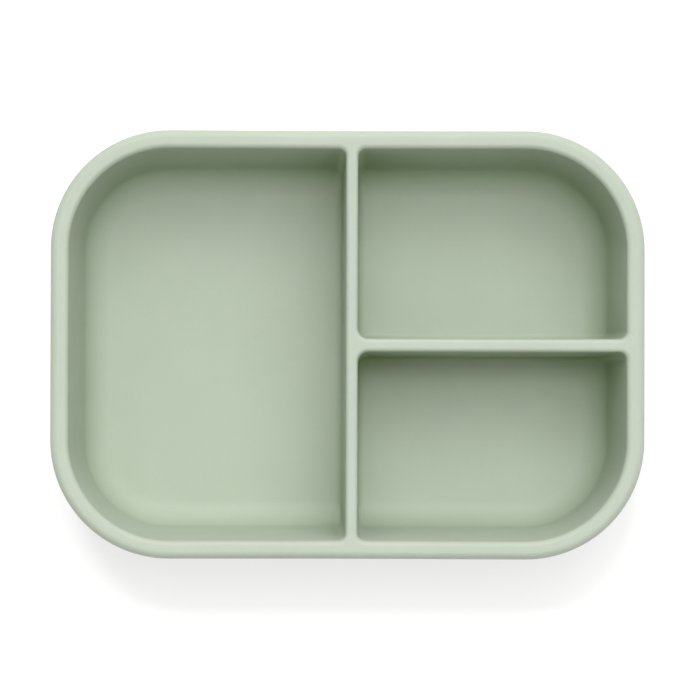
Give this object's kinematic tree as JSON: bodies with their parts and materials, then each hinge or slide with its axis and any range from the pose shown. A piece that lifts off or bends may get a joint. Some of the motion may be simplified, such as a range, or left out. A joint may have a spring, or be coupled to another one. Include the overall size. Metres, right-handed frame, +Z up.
{
  "type": "divided suction bowl",
  "caption": "Rounded rectangular silicone tub split by a T-shaped divider, held to a table by plug-in suction cups with release tabs.",
  "frame": {"origin": "on the table under the middle of the tub, in the plane of the suction cups' lips", "axes": "+X to the right along the long side, with the undivided compartment at -X; +Y to the rear; +Z up"},
  "size_m": [0.208, 0.15, 0.054],
  "materials": {
    "bowl_silicone": "matt, soft-touch",
    "cup_silicone": "smooth, slightly glossy"
  },
  "bodies": {
    "bowl": {"compartment_bowl": "bowl_silicone"},
    "cup_rear_left": {"suction_cup_rear_left": "cup_silicone"},
    "cup_rear_right": {"suction_cup_rear_right": "cup_silicone"},
    "cup_front_left": {"suction_cup_front_left": "cup_silicone"},
    "cup_front_right": {"suction_cup_front_right": "cup_silicone"}
  },
  "joints": [
    {"name": "cup_rear_left_pull", "type": "slide", "parent": "bowl", "child": "cup_rear_left", "axis": [0, 0, 1], "range_m": [-0.008, 0]},
    {"name": "cup_rear_right_pull", "type": "slide", "parent": "bowl", "child": "cup_rear_right", "axis": [0, 0, 1], "range_m": [-0.008, 0]},
    {"name": "cup_front_left_pull", "type": "slide", "parent": "bowl", "child": "cup_front_left", "axis": [0, 0, 1], "range_m": [-0.008, 0]},
    {"name": "cup_front_right_pull", "type": "slide", "parent": "bowl", "child": "cup_front_right", "axis": [0, 0, 1], "range_m": [-0.008, 0]}
  ]
}
